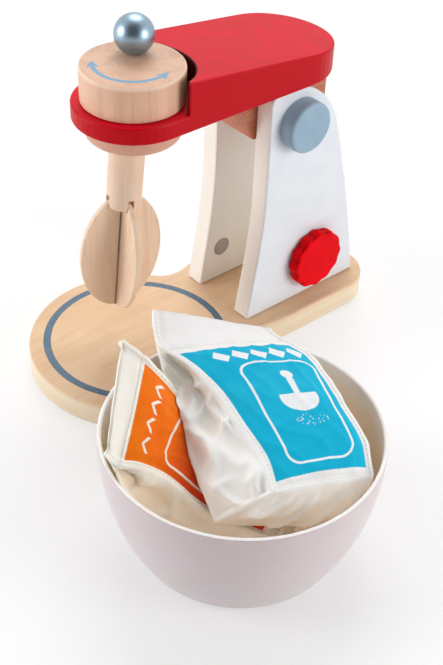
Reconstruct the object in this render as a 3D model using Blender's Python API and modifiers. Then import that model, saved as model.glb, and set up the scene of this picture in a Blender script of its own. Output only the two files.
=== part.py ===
# Wooden toy stand mixer with its mixing bowl and two cloth ingredient bags.
# The origin is on the table under the middle of the drum. The drum end of the head
# faces -Y, the stand is at +Y, the dial is on the +X side and +Z is up.
# Lengths are in metres.

import math

import bmesh
import bpy
from mathutils import Euler, Matrix, Vector

MM = 0.001

# Clearances between pieces that are glued and that run, and the overrun of every cut
GLUE_GAP = 0.3 * MM
RUN_GAP = 0.4 * MM
OVERRUN = 6.0 * MM
WELD_DISTANCE = 0.01 * MM

# How finely round shapes are cut, and where shading breaks
ROUND_STEPS = 48
SMALL_STEPS = 20
SCREW_STEPS = 12
CORNER_STEPS = 3
BEZIER_STEPS = 8
SHARP_ANGLE = math.radians(35.0)
SOFT_ANGLE = math.radians(50.0)
FLAT_ANGLE = math.radians(0.5)
RIGHT_ANGLE = math.pi / 2

# Base board, a round front on a neck and a wider tail
BASE_THICK = 18.0 * MM
BASE_ROUND_R = 72.0 * MM
BASE_NECK_HALF = 42.0 * MM
BASE_NECK_Y = 68.0 * MM
BASE_TAIL_FLARE = 5.0 * MM
BASE_SWELL_R = 120.0 * MM
BASE_REAR_Y = 186.0 * MM
BASE_CORNER_R = 28.0 * MM
BASE_EDGE_R = 1.8 * MM
BASE_ROUND_STEPS = 28
BASE_NECK_STEPS = 8
BASE_SWELL_STEPS = 6
BASE_CORNER_STEPS = 8

# Side plates of the stand
PLATE_THICK = 14.0 * MM
PLATE_SPAN = 37.0 * MM
PLATE_FRONT_Y = 71.2 * MM
PLATE_REAR_Y = 173.6 * MM
PLATE_EDGE_R = 1.2 * MM
# The outline as shares of the foot's length and the plate's height: each point, and
# the way from it to its handle before and its handle after
PLATE_OUTLINE_SHARES = [
    ((0.0, 0.0), (0.0, 0.0), (0.035, 0.16)),
    ((0.105, 0.56), (0.0, -0.2), (0.0, 0.12)),
    ((0.105, 0.952), (0.0, -0.05), (0.0, 0.028)),
    ((0.174, 1.0), (-0.039, 0.0), (0.04, 0.0)),
    ((0.31, 1.0), (-0.04, 0.0), (0.137, 0.0)),
    ((0.682, 0.803), (-0.049, 0.095), (0.082, -0.159)),
    ((1.0, 0.0), (-0.07, 0.28), (0.0, 0.0)),
]

# Head arm, whose top falls to the rear, cut down to a shelf at the front
ARM_UNDER_Z = 186.6 * MM
ARM_FRONT_TOP_Z = 219.6 * MM
ARM_TOP_FALL = math.radians(6.4)
ARM_HALF = 36.6 * MM
ARM_END_Y = 149.0 * MM
ARM_EDGE_R = 1.0 * MM
SHELF_THICK = 10.6 * MM
NOTCH_Y = 13.0 * MM
HOLLOW_R = 36.3 * MM

# Block under the arm that swings on the axle between the plates
PIVOT_Y = 106.4 * MM
PIVOT_Z = 161.2 * MM
BLOCK_TOP_Y = 64.8 * MM
BLOCK_FRONT_Y = 80.8 * MM
BLOCK_REAR_Y = 143.0 * MM
BLOCK_UNDER_Z = 150.0 * MM
BLOCK_HEEL = 12.0 * MM
BLOCK_SIDE_GAP = 0.6 * MM
BLOCK_EDGE_R = 1.0 * MM
BLOCK_SOFT_ANGLE = math.radians(20.0)
DOWEL_R = 4.0 * MM
DOWEL_DEPTH = 9.0 * MM
DOWEL_INSET = 18.0 * MM
DOWEL_CHAMFER = 0.4 * MM

# Axle and its caps
AXLE_R = 5.0 * MM
CAP_R = 17.2 * MM
CAP_THICK = 11.0 * MM
CAP_EDGE_R = 2.2 * MM
CAP_SOCKET = 7.0 * MM

# Turning drum, the flange under the shelf, and the ball that turns them
DRUM_R = 31.2 * MM
DRUM_TOP_Z = 219.6 * MM
DRUM_EDGE_R = 1.6 * MM
FLANGE_R = 29.2 * MM
FLANGE_THICK = 12.0 * MM
FLANGE_EDGE_R = 4.0 * MM
HUB_R = 16.5 * MM
BALL_R = 12.1 * MM
BALL_SEAT_R = 4.2 * MM
BALL_OFFSET = 13.3 * MM
BALL_STEPS = 14
PEG_R = 3.0 * MM
PEG_DEPTH = 8.0 * MM

# The stem leans out from the drum's axis, so its leaves sweep round the bowl
STEM_TURN = math.radians(48.2)
STEM_LEAN = math.radians(4.2)
STEM_PIVOT_Z = 217.0 * MM
STEM_R = 11.1 * MM
STEM_TOP = 10.0 * MM
STEM_LENGTH = 82.0 * MM
STEM_CHAMFER = 0.4 * MM
STEM_SLOT = 7.8 * MM
LEAF_TENON = 6.4 * MM
LEAF_THICK = 3.6 * MM
LEAF_HALF = 27.5 * MM
LEAF_HEIGHT = 85.0 * MM
LEAF_EDGE_R = 0.7 * MM
LEAF_PLAY = 0.9 * MM
LEAF_TURN = math.radians(29.0)
LEAF_STEPS = 56

# Dial on the right plate, its pin and the keeper inside
DIAL_Y = 128.4 * MM
DIAL_Z = 49.6 * MM
DIAL_R = 22.0 * MM
DIAL_THICK = 9.0 * MM
DIAL_LOBES = 12
DIAL_LOBE_STEPS = 6
DIAL_LOBE_DEPTH = 1.1 * MM
DIAL_EDGE_R = 2.4 * MM
DIAL_SOCKET = 6.0 * MM
PIN_R = 4.0 * MM
KEEPER_R = 6.6 * MM
KEEPER_THICK = 4.0 * MM
KEEPER_SOCKET = 2.5 * MM
PLUG_Y = 90.2 * MM
PLUG_Z = 44.0 * MM
PLUG_DEPTH = 6.0 * MM

# Wood screws driven up through the base into the plates
SCREW_HEAD_R = 4.0 * MM
SCREW_HEAD_HEIGHT = 2.6 * MM
SCREW_SHANK_R = 2.0 * MM
SCREW_LENGTH = 38.0 * MM
SCREW_TIP = 4.0 * MM
SCREW_SINK = 1.0 * MM
SCREW_INSET = 22.0 * MM

# Mixing bowl
BOWL_X = 163.0 * MM
BOWL_Y = -49.8 * MM
BOWL_RIM_R = 78.8 * MM
BOWL_HEIGHT = 85.0 * MM
BOWL_FOOT_R = 55.6 * MM
BOWL_FOOT_EDGE_R = 4.0 * MM
BOWL_WALL = 2.6 * MM
BOWL_FLOOR = 3.2 * MM
BOWL_SWELL = 2.19
BOWL_STEPS = 9
LIP_STEPS = 4
BOWL_TURN_STEPS = 64

# Bags, in the bowl's frame turned to the stem's side. Each section has its corners as
# shares of the rim's radius: the front's near and far corner, then the back's far and
# near one. The first section is the filled foot and the last one the sewn top.
SUGAR_CORNER_SHARES = [
    ((0.23, -0.52, 0.97), (0.92, -0.38, 0.93), (0.90, -0.30, 0.58), (-0.20, -0.74, 0.69)),
    ((0.04, -0.35, 1.12), (0.88, -0.12, 1.07), (0.72, -0.05, 0.65), (-0.32, -0.35, 0.83)),
    ((-0.15, -0.18, 1.22), (0.74, 0.18, 1.16), (0.54, 0.20, 0.76), (-0.45, -0.01, 0.96)),
    ((-0.37, 0.15, 1.32), (0.55, 0.55, 1.20), (0.44, 0.56, 0.97), (-0.60, 0.38, 1.15)),
    ((-0.71, 0.79, 1.39), (0.31, 0.79, 1.19), (0.31, 0.79, 1.16), (-0.71, 0.79, 1.36)),
]
FLOUR_CORNER_SHARES = [
    ((0.31, -0.70, 0.54), (0.45, -0.10, 0.50), (0.36, -0.10, 0.00), (0.20, -0.72, 0.04)),
    ((0.00, -0.70, 0.65), (0.12, 0.05, 0.62), (0.00, 0.13, 0.00), (-0.17, -0.72, 0.08)),
    ((-0.33, -0.74, 0.79), (-0.22, 0.10, 0.82), (-0.33, 0.18, 0.25), (-0.54, -0.64, 0.30)),
    ((-0.66, -0.60, 0.92), (-0.59, 0.27, 1.13), (-0.69, 0.33, 0.84), (-0.80, -0.48, 0.69)),
    ((-0.905, -0.355, 1.05), (-0.87, 0.41, 1.42), (-0.87, 0.41, 1.39), (-0.905, -0.355, 1.02)),
]
# Where a ring's points lie along each edge of its section, how far the middle of an
# edge bulges, and where the rings lie that tighten the foot and the sewn top
BAG_EDGE_SHARES = (0.15, 0.5, 0.85)
BAG_BULGE_SHARE = 0.12
BAG_FOOT_SHARE = 0.15
BAG_TOP_SHARE = 0.85
BAG_END_BULGE_SHARE = 0.35
BAG_SMOOTHING = 1
BAG_GAP = 0.5 * MM
SUGAR_LIFT = 7.2 * MM
FLOUR_LIFT = 9.5 * MM

# Places that follow from the sizes above
tail_half = BASE_NECK_HALF + BASE_TAIL_FLARE
arm_rear_y = ARM_END_Y - ARM_HALF
plate_centre_x = PLATE_SPAN / 2 + PLATE_THICK / 2
plate_inner_x = PLATE_SPAN / 2
plate_outer_x = PLATE_SPAN / 2 + PLATE_THICK
plate_foot_z = BASE_THICK + GLUE_GAP
plate_top_z = ARM_UNDER_Z - GLUE_GAP
block_half = plate_inner_x - BLOCK_SIDE_GAP
shelf_top_z = ARM_UNDER_Z + SHELF_THICK
drum_under_z = shelf_top_z + RUN_GAP
flange_top_z = ARM_UNDER_Z - RUN_GAP
flange_under_z = flange_top_z - FLANGE_THICK
hub_top_z = drum_under_z - GLUE_GAP
stem_end = -STEM_TOP - STEM_LENGTH
leaf_middle = stem_end + LEAF_TENON - LEAF_HEIGHT / 2
ball_place = (-BALL_OFFSET * math.sin(STEM_TURN), BALL_OFFSET * math.cos(STEM_TURN), 0.0)
pivot_place = (0.0, PIVOT_Y, PIVOT_Z)
dial_place = (0.0, DIAL_Y, DIAL_Z)
bowl_place = (BOWL_X, BOWL_Y, 0.0)
centre_line = (0.0, 0.0, 0.0)

# Turns that lay a piece's own Z along the world's X, or stand a drawn outline in the
# world's YZ plane
upright = (0.0, 0.0, 0.0)
along_x = (0.0, RIGHT_ANGLE, 0.0)
against_x = (0.0, -RIGHT_ANGLE, 0.0)
standing = (RIGHT_ANGLE, 0.0, RIGHT_ANGLE)


def clear_scene():
    for old in list(bpy.data.objects):
        bpy.data.objects.remove(old, do_unlink=True)


def make_collection(name):
    group = bpy.data.collections.new(name)
    bpy.context.scene.collection.children.link(group)
    return group


def make_material(name, colour, roughness, metallic=0.0):
    material = bpy.data.materials.new(name)
    material.use_nodes = True
    shader = material.node_tree.nodes["Principled BSDF"]
    shader.inputs["Base Color"].default_value = (*colour, 1.0)
    shader.inputs["Roughness"].default_value = roughness
    shader.inputs["Metallic"].default_value = metallic
    material.diffuse_color = (*colour, 1.0)
    return material


# Each finish is made once and shared by the pieces that have it
def beech():
    return make_material("beech", (0.80, 0.55, 0.33), 0.55)


def pale_beech():
    return make_material("pale_beech", (0.82, 0.62, 0.44), 0.55)


def plywood():
    return make_material("plywood", (0.78, 0.56, 0.36), 0.6)


def white_paint():
    return make_material("white_paint", (0.80, 0.84, 0.88), 0.45)


def red_lacquer():
    return make_material("red_lacquer", (0.80, 0.02, 0.03), 0.35)


def dial_red():
    return make_material("dial_red", (0.78, 0.0, 0.01), 0.45)


def grey_paint():
    return make_material("grey_paint", (0.34, 0.47, 0.57), 0.35)


def silver_paint():
    return make_material("silver_paint", (0.36, 0.46, 0.54), 0.3, 0.7)


def screw_steel():
    return make_material("screw_steel", (0.55, 0.55, 0.56), 0.35, 1.0)


def bowl_plastic():
    return make_material("bowl_plastic", (0.88, 0.85, 0.86), 0.3)


def sugar_cotton():
    return make_material("sugar_cotton", (0.85, 0.86, 0.84), 0.9)


def flour_cotton():
    return make_material("flour_cotton", (0.86, 0.82, 0.72), 0.9)


def make_finish(maker):
    if maker.__name__ not in bpy.data.materials:
        maker()
    return bpy.data.materials[maker.__name__]


def make_empty(name, place, turn=upright, parent=None):
    guide = bpy.data.objects.new(name, None)
    parts.objects.link(guide)
    return put(guide, place, turn, parent)


# Puts a piece at a place in the world and then under its parent
def put(piece, place, turn=upright, parent=None):
    wanted = Matrix.LocRotScale(Vector(place), Euler(turn), None)
    piece.parent = parent
    if parent:
        wanted = parent.matrix_world.inverted() @ wanted
    piece.matrix_basis = wanted
    bpy.context.view_layer.update()
    return piece


# Puts a piece at a place in its parent's own frame
def put_inside(piece, place, turn, parent):
    piece.parent = parent
    piece.location = place
    piece.rotation_euler = turn
    bpy.context.view_layer.update()
    return piece


def make_object(name, mesh, finish):
    piece = bpy.data.objects.new(name, mesh)
    if finish is None:
        cutters.objects.link(piece)
        piece.hide_render = True
        piece.display_type = "WIRE"
    else:
        parts.objects.link(piece)
        mesh.materials.append(make_finish(finish))
    return piece


# Replaces a piece's mesh by what its modifiers make of it, and shades it
def settle(piece):
    bpy.context.view_layer.update()
    graph = bpy.context.evaluated_depsgraph_get()
    mesh = bpy.data.meshes.new_from_object(piece.evaluated_get(graph))
    mesh.name = piece.name
    piece.modifiers.clear()
    piece.data = mesh
    mesh.shade_smooth()
    mesh.set_sharp_from_angle(angle=SHARP_ANGLE)
    return piece


def soften(piece, width, segments=2, angle=SOFT_ANGLE):
    edge = piece.modifiers.new("soft_edges", "BEVEL")
    edge.width = width
    edge.segments = segments
    edge.limit_method = "ANGLE"
    edge.angle_limit = angle


def cut(piece, cutter):
    knife = piece.modifiers.new(cutter.name, "BOOLEAN")
    knife.operation = "DIFFERENCE"
    knife.solver = "EXACT"
    knife.object = cutter


# Turns a profile of radius and height, given from the top down, about its own Z
def make_turned(name, profile, finish, steps=ROUND_STEPS):
    mesh = bpy.data.meshes.new(name)
    points = [(radius, 0.0, height) for radius, height in profile]
    links = [(i, i + 1) for i in range(len(points) - 1)]
    mesh.from_pydata(points, links, [])
    piece = make_object(name, mesh, finish)
    spin = piece.modifiers.new("spin", "SCREW")
    spin.steps = steps
    spin.render_steps = steps
    spin.use_merge_vertices = True
    spin.merge_threshold = WELD_DISTANCE
    return settle(piece)


def make_rod(name, radius, top, bottom, finish, chamfer=0.0, steps=SMALL_STEPS):
    if chamfer:
        profile = [(0.0, top), (radius - chamfer, top), (radius, top - chamfer)]
        profile += [(radius, bottom + chamfer), (radius - chamfer, bottom), (0.0, bottom)]
    else:
        profile = [(0.0, top), (radius, top), (radius, bottom), (0.0, bottom)]
    return make_turned(name, profile, finish, steps)


# Points on an arc about a centre, angles in radians
def arc(centre, radius, start, end, steps):
    points = []
    for i in range(steps + 1):
        angle = start + (end - start) * i / steps
        x = centre[0] + radius * math.cos(angle)
        y = centre[1] + radius * math.sin(angle)
        points.append((x, y))
    return points


# An outline drawn flat and extruded evenly to both sides
def make_sheet_curve(name, thick):
    data = bpy.data.curves.new(name, "CURVE")
    data.dimensions = "2D"
    data.fill_mode = "BOTH"
    data.extrude = thick / 2
    data.resolution_u = BEZIER_STEPS
    outline = bpy.data.objects.new(name, data)
    parts.objects.link(outline)
    return outline


def curve_to_mesh(outline, finish):
    name = outline.name
    bpy.context.view_layer.update()
    graph = bpy.context.evaluated_depsgraph_get()
    mesh = bpy.data.meshes.new_from_object(outline.evaluated_get(graph))
    shape = bmesh.new()
    shape.from_mesh(mesh)
    bmesh.ops.remove_doubles(shape, verts=shape.verts, dist=WELD_DISTANCE)
    bmesh.ops.dissolve_limit(shape, angle_limit=FLAT_ANGLE, verts=shape.verts, edges=shape.edges)
    shape.to_mesh(mesh)
    shape.free()
    wanted = outline.matrix_world.copy()
    bpy.data.objects.remove(outline, do_unlink=True)
    mesh.name = name
    mesh.materials.clear()
    piece = make_object(name, mesh, finish)
    piece.matrix_world = wanted
    return piece


def make_board(name, outline, thick, finish):
    sheet = make_sheet_curve(name, thick)
    spline = sheet.data.splines.new("POLY")
    spline.points.add(len(outline) - 1)
    for point, (x, y) in zip(spline.points, outline):
        point.co = (x, y, 0.0, 1.0)
    spline.use_cyclic_u = True
    return curve_to_mesh(sheet, finish)


def make_smooth_board(name, outline, thick, finish):
    sheet = make_sheet_curve(name, thick)
    spline = sheet.data.splines.new("BEZIER")
    spline.bezier_points.add(len(outline) - 1)
    for point, (place, before, after) in zip(spline.bezier_points, outline):
        point.handle_left_type = "FREE"
        point.handle_right_type = "FREE"
        point.co = (*place, 0.0)
        point.handle_left = (*before, 0.0)
        point.handle_right = (*after, 0.0)
    spline.use_cyclic_u = True
    return curve_to_mesh(sheet, finish)


# A box cutter between two corners
def make_box(name, low, high):
    shape = bmesh.new()
    bmesh.ops.create_cube(shape, size=1.0)
    for vert in shape.verts:
        share = vert.co + Vector((0.5, 0.5, 0.5))
        vert.co = [low[i] + (high[i] - low[i]) * share[i] for i in range(3)]
    mesh = bpy.data.meshes.new(name)
    shape.to_mesh(mesh)
    shape.free()
    return make_object(name, mesh, None)


def base_outline():
    span = (BASE_ROUND_R - BASE_NECK_HALF) * (BASE_ROUND_R + BASE_NECK_HALF)
    neck_r = (BASE_NECK_Y ** 2 - span) / (2 * (BASE_ROUND_R - BASE_NECK_HALF))
    neck = (BASE_NECK_HALF + neck_r, BASE_NECK_Y)
    leave = math.atan2(neck[1], neck[0])
    swell_x = tail_half - BASE_SWELL_R
    rise = math.sqrt((neck_r + BASE_SWELL_R) ** 2 - (neck[0] - swell_x) ** 2)
    swell = (swell_x, BASE_NECK_Y + rise)
    meet = math.atan2(neck[1] - swell[1], neck[0] - swell[0])
    corner = (tail_half - BASE_CORNER_R, BASE_REAR_Y - BASE_CORNER_R)
    right = arc((0.0, 0.0), BASE_ROUND_R, -RIGHT_ANGLE, leave, BASE_ROUND_STEPS)
    right += arc(neck, neck_r, math.pi + leave, math.pi + meet, BASE_NECK_STEPS)[1:]
    right += arc(swell, BASE_SWELL_R, meet, 0.0, BASE_SWELL_STEPS)[1:]
    right += arc(corner, BASE_CORNER_R, 0.0, RIGHT_ANGLE, BASE_CORNER_STEPS)
    left = [(-x, y) for x, y in reversed(right[1:])]
    return right + left


def screw_profile(head_r, shank_r, tip, under):
    profile = [(0.0, tip), (shank_r, tip - SCREW_TIP), (shank_r, SCREW_HEAD_HEIGHT), (head_r, 0.0)]
    if under:
        profile.append((head_r, -under))
    profile.append((0.0, -under))
    return profile


def make_screw(name, x, y):
    place = (x, y, SCREW_SINK)
    profile = screw_profile(SCREW_HEAD_R, SCREW_SHANK_R, SCREW_LENGTH, 0.0)
    put(make_turned(name, profile, screw_steel, SCREW_STEPS), place)
    profile = screw_profile(SCREW_HEAD_R + GLUE_GAP, SCREW_SHANK_R + GLUE_GAP,
                            SCREW_LENGTH + GLUE_GAP, OVERRUN)
    hole = make_turned("cut_" + name, profile, None, SCREW_STEPS)
    return put(hole, place)


def make_base(holes):
    base = make_board("base_board", base_outline(), BASE_THICK, beech)
    put(base, (0.0, 0.0, BASE_THICK / 2))
    soften(base, BASE_EDGE_R)
    for hole in holes:
        cut(base, hole)
    settle(base)


def plate_outline():
    length = PLATE_REAR_Y - PLATE_FRONT_Y
    height = plate_top_z - plate_foot_z
    outline = []
    for point, before, after in PLATE_OUTLINE_SHARES:
        trio = [point]
        trio.append((point[0] + before[0], point[1] + before[1]))
        trio.append((point[0] + after[0], point[1] + after[1]))
        outline.append([(PLATE_FRONT_Y + y * length, plate_foot_z + z * height) for y, z in trio])
    return outline


def make_plate(name, x, cutters_here):
    plate = make_smooth_board(name, plate_outline(), PLATE_THICK, white_paint)
    put(plate, (x, 0.0, 0.0), standing)
    soften(plate, PLATE_EDGE_R)
    for cutter in cutters_here:
        cut(plate, cutter)
    settle(plate)


def make_stand():
    front_y = PLATE_FRONT_Y + SCREW_INSET
    rear_y = PLATE_REAR_Y - SCREW_INSET
    left_holes = [make_screw("plate_screw_left_front", -plate_centre_x, front_y)]
    left_holes.append(make_screw("plate_screw_left_rear", -plate_centre_x, rear_y))
    right_holes = [make_screw("plate_screw_right_front", plate_centre_x, front_y)]
    right_holes.append(make_screw("plate_screw_right_rear", plate_centre_x, rear_y))
    make_base(left_holes + right_holes)

    beyond = plate_outer_x + OVERRUN
    axle_hole = make_rod("cut_axle", AXLE_R + GLUE_GAP, beyond, -beyond, None)
    put(axle_hole, pivot_place, along_x)
    pin_hole = make_rod("cut_dial_pin", PIN_R + RUN_GAP, beyond, plate_inner_x - OVERRUN, None)
    put(pin_hole, dial_place, along_x)
    plug_place = (-plate_inner_x, PLUG_Y, PLUG_Z)
    plug_hole = make_rod("cut_plug", KEEPER_R + GLUE_GAP, OVERRUN, -PLUG_DEPTH - GLUE_GAP, None)
    put(plug_hole, plug_place, along_x)
    make_plate("side_plate_left", -plate_centre_x, left_holes + [axle_hole, plug_hole])
    make_plate("side_plate_right", plate_centre_x, right_holes + [axle_hole, pin_hole])
    plug = make_rod("left_plate_plug", KEEPER_R, 0.0, -PLUG_DEPTH, grey_paint, DOWEL_CHAMFER)
    put(plug, plug_place, along_x)


def cap_profile():
    hole_r = AXLE_R + GLUE_GAP
    shoulder = (CAP_R - CAP_EDGE_R, CAP_THICK - CAP_EDGE_R)
    profile = [(0.0, CAP_THICK)]
    profile += arc(shoulder, CAP_EDGE_R, RIGHT_ANGLE, 0.0, CORNER_STEPS)
    profile += [(CAP_R, 0.0), (hole_r, 0.0), (hole_r, CAP_SOCKET), (0.0, CAP_SOCKET)]
    return profile


def make_pivot():
    inner = plate_outer_x + GLUE_GAP
    reach = inner + CAP_SOCKET - GLUE_GAP
    axle = make_rod("pivot_axle", AXLE_R, reach, -reach, beech, DOWEL_CHAMFER)
    put(axle, pivot_place, along_x)
    right = make_turned("pivot_cap_right", cap_profile(), grey_paint)
    put(right, (inner, PIVOT_Y, PIVOT_Z), along_x)
    left = make_turned("pivot_cap_left", cap_profile(), grey_paint)
    put(left, (-inner, PIVOT_Y, PIVOT_Z), against_x)


def arm_outline():
    outline = arc((0.0, 0.0), ARM_HALF, -math.pi, 0.0, ROUND_STEPS // 2)
    outline += arc((0.0, arm_rear_y), ARM_HALF, 0.0, math.pi, ROUND_STEPS // 2)
    return outline


# All that lies ahead of the arm's end face, and the hollow behind the drum
def notch_outline(reach):
    corner = math.asin(NOTCH_Y / HOLLOW_R)
    outline = [(-reach, NOTCH_Y), (-reach, -reach), (reach, -reach), (reach, NOTCH_Y)]
    return outline + arc((0.0, 0.0), HOLLOW_R, corner, math.pi - corner, ROUND_STEPS // 2)


def make_arm(head, dowel_holes):
    reach = ARM_END_Y + ARM_HALF
    full_top_z = ARM_FRONT_TOP_Z + OVERRUN
    arm = make_board("head_arm", arm_outline(), full_top_z - ARM_UNDER_Z, red_lacquer)
    put(arm, (0.0, 0.0, (full_top_z + ARM_UNDER_Z) / 2), upright, head)
    slope = make_box("cut_arm_top", (-reach, -reach, 0.0), (reach, reach, ARM_HALF))
    put(slope, (0.0, 0.0, ARM_FRONT_TOP_Z), (-ARM_TOP_FALL, 0.0, 0.0), head)
    notch = make_board("cut_arm_notch", notch_outline(reach), 2 * ARM_HALF, None)
    put(notch, (0.0, 0.0, shelf_top_z + ARM_HALF), upright, head)
    hub_hole = make_rod("cut_hub", HUB_R + RUN_GAP, SHELF_THICK + OVERRUN, -OVERRUN, None,
                        steps=ROUND_STEPS)
    put(hub_hole, (0.0, 0.0, ARM_UNDER_Z), upright, head)
    cut(arm, slope)
    cut(arm, notch)
    soften(arm, ARM_EDGE_R)
    for cutter in [hub_hole] + dowel_holes:
        cut(arm, cutter)
    settle(arm)


def block_outline():
    return [
        (BLOCK_FRONT_Y, BLOCK_UNDER_Z),
        (BLOCK_REAR_Y - BLOCK_HEEL, BLOCK_UNDER_Z),
        (BLOCK_REAR_Y, BLOCK_UNDER_Z + BLOCK_HEEL),
        (BLOCK_REAR_Y, plate_top_z),
        (BLOCK_TOP_Y, plate_top_z),
    ]


def make_block(head, dowel_holes):
    block = make_board("tilt_block", block_outline(), 2 * block_half, beech)
    put(block, centre_line, standing, head)
    soften(block, BLOCK_EDGE_R, angle=BLOCK_SOFT_ANGLE)
    swing = make_rod("cut_block_swing", AXLE_R + RUN_GAP, plate_outer_x, -plate_outer_x, None)
    put(swing, pivot_place, along_x, head)
    for cutter in [swing] + dowel_holes:
        cut(block, cutter)
    settle(block)


def make_dowel(name, y, head):
    place = (0.0, y, ARM_UNDER_Z)
    put(make_rod(name, DOWEL_R, DOWEL_DEPTH, -DOWEL_DEPTH, beech, DOWEL_CHAMFER), place, upright, head)
    reach = DOWEL_DEPTH + GLUE_GAP
    hole = make_rod("cut_" + name, DOWEL_R + GLUE_GAP, reach, -reach, None)
    return put(hole, place, upright, head)


def make_head():
    head = make_empty("head_axis", pivot_place)
    dowel_holes = [make_dowel("block_dowel_front", BLOCK_FRONT_Y, head)]
    dowel_holes.append(make_dowel("block_dowel_rear", BLOCK_REAR_Y - DOWEL_INSET, head))
    make_arm(head, dowel_holes)
    make_block(head, dowel_holes)
    return head


def drum_profile():
    low_r = DRUM_EDGE_R / 2
    profile = [(0.0, DRUM_TOP_Z)]
    profile += arc((DRUM_R - DRUM_EDGE_R, DRUM_TOP_Z - DRUM_EDGE_R), DRUM_EDGE_R, RIGHT_ANGLE, 0.0,
                   CORNER_STEPS)
    profile += arc((DRUM_R - low_r, drum_under_z + low_r), low_r, 0.0, -RIGHT_ANGLE, CORNER_STEPS)
    profile.append((0.0, drum_under_z))
    return profile


def flange_profile():
    profile = [(0.0, hub_top_z), (HUB_R, hub_top_z), (HUB_R, flange_top_z), (FLANGE_R, flange_top_z)]
    profile += arc((FLANGE_R - FLANGE_EDGE_R, flange_under_z + FLANGE_EDGE_R), FLANGE_EDGE_R, 0.0,
                   -RIGHT_ANGLE, CORNER_STEPS)
    profile.append((0.0, flange_under_z))
    return profile


# A ball with a flat seat at zero and a blind peg hole in it
def ball_profile():
    rise = math.sqrt(BALL_R ** 2 - BALL_SEAT_R ** 2)
    hole_r = PEG_R + GLUE_GAP
    hole_top = PEG_DEPTH + GLUE_GAP
    profile = arc((0.0, rise), BALL_R, RIGHT_ANGLE, -math.acos(BALL_SEAT_R / BALL_R), BALL_STEPS)
    profile[0] = (0.0, rise + BALL_R)
    profile += [(hole_r, 0.0), (hole_r, hole_top), (0.0, hole_top)]
    return profile


def make_drum(beater, stem):
    socket = make_rod("cut_stem_socket", STEM_R + GLUE_GAP, -STEM_TOP + GLUE_GAP, stem_end, None,
                      steps=ROUND_STEPS)
    put_inside(socket, centre_line, upright, stem)
    seat_z = DRUM_TOP_Z + GLUE_GAP
    ball_seat = (ball_place[0], ball_place[1], seat_z)
    peg_hole = make_rod("cut_peg", PEG_R + GLUE_GAP, OVERRUN, -PEG_DEPTH - GLUE_GAP, None)
    put(peg_hole, (ball_place[0], ball_place[1], DRUM_TOP_Z), upright, beater)

    drum = make_turned("drum_top", drum_profile(), beech)
    put(drum, centre_line, upright, beater)
    cut(drum, socket)
    cut(drum, peg_hole)
    settle(drum)
    flange = make_turned("drum_flange", flange_profile(), beech)
    put(flange, centre_line, upright, beater)
    cut(flange, socket)
    settle(flange)

    put(make_turned("turning_ball", ball_profile(), silver_paint, 2 * BALL_STEPS), ball_seat, upright,
        beater)
    peg = make_rod("ball_peg", PEG_R, PEG_DEPTH, -PEG_DEPTH, beech, DOWEL_CHAMFER)
    put(peg, ball_seat, upright, beater)


def leaf_outline():
    circle = arc((0.0, 0.0), 1.0, 0.0, 2 * math.pi, LEAF_STEPS)[:-1]
    return [(x * LEAF_HALF, y * LEAF_HEIGHT / 2) for x, y in circle]


# A box in the stem's own frame, wide and deep from its middle, between two heights
def make_slot(name, wide, deep, low, high, turn, stem):
    slot = make_box(name, (-wide, -deep, low), (wide, deep, high))
    return put_inside(slot, centre_line, (0.0, 0.0, turn), stem)


def make_leaf(name, turn, lap, stem):
    leaf = make_board(name, leaf_outline(), LEAF_THICK, plywood)
    put_inside(leaf, (0.0, 0.0, leaf_middle), (RIGHT_ANGLE, 0.0, turn), stem)
    soften(leaf, LEAF_EDGE_R)
    cut(leaf, lap)
    settle(leaf)


# The two leaves cross in laps: one is open at its top and the other at its foot
def make_whisk(stem):
    cross_turn = LEAF_TURN - RIGHT_ANGLE
    reach = LEAF_HEIGHT
    lap_gap = GLUE_GAP / 2
    loose = LEAF_THICK / 2 + LEAF_PLAY
    tight = LEAF_THICK / 2 + GLUE_GAP
    wide_lap = make_slot("cut_wide_lap", loose, reach, leaf_middle - lap_gap, leaf_middle + reach,
                         LEAF_TURN, stem)
    cross_lap = make_slot("cut_cross_lap", tight, reach, leaf_middle - reach, leaf_middle + lap_gap,
                          cross_turn, stem)
    make_leaf("beater_leaf_wide", LEAF_TURN, wide_lap, stem)
    make_leaf("beater_leaf_cross", cross_turn, cross_lap, stem)

    shank = make_rod("beater_stem", STEM_R, -STEM_TOP, stem_end, pale_beech, STEM_CHAMFER, ROUND_STEPS)
    put_inside(shank, centre_line, upright, stem)
    for name, turn in (("cut_slot_wide", LEAF_TURN), ("cut_slot_cross", cross_turn)):
        slot = make_slot(name, reach, tight, stem_end - OVERRUN, stem_end + STEM_SLOT, turn, stem)
        cut(shank, slot)
    settle(shank)


def make_beater(head):
    beater = make_empty("beater_axis", centre_line, upright, head)
    stem = make_empty("stem_axis", (0.0, 0.0, STEM_PIVOT_Z), (0.0, STEM_LEAN, STEM_TURN), beater)
    make_drum(beater, stem)
    make_whisk(stem)


def dial_outline():
    points = []
    count = DIAL_LOBES * DIAL_LOBE_STEPS
    for i in range(count):
        angle = 2 * math.pi * i / count
        dip = DIAL_LOBE_DEPTH * (1 - math.cos(DIAL_LOBES * angle)) / 2
        points.append(((DIAL_R - dip) * math.cos(angle), (DIAL_R - dip) * math.sin(angle)))
    return points


def keeper_profile():
    hole_r = PIN_R + GLUE_GAP
    floor = -KEEPER_SOCKET - GLUE_GAP
    profile = [(0.0, floor), (hole_r, floor), (hole_r, 0.0), (KEEPER_R, 0.0)]
    profile += [(KEEPER_R, -KEEPER_THICK), (0.0, -KEEPER_THICK)]
    return profile


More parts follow.
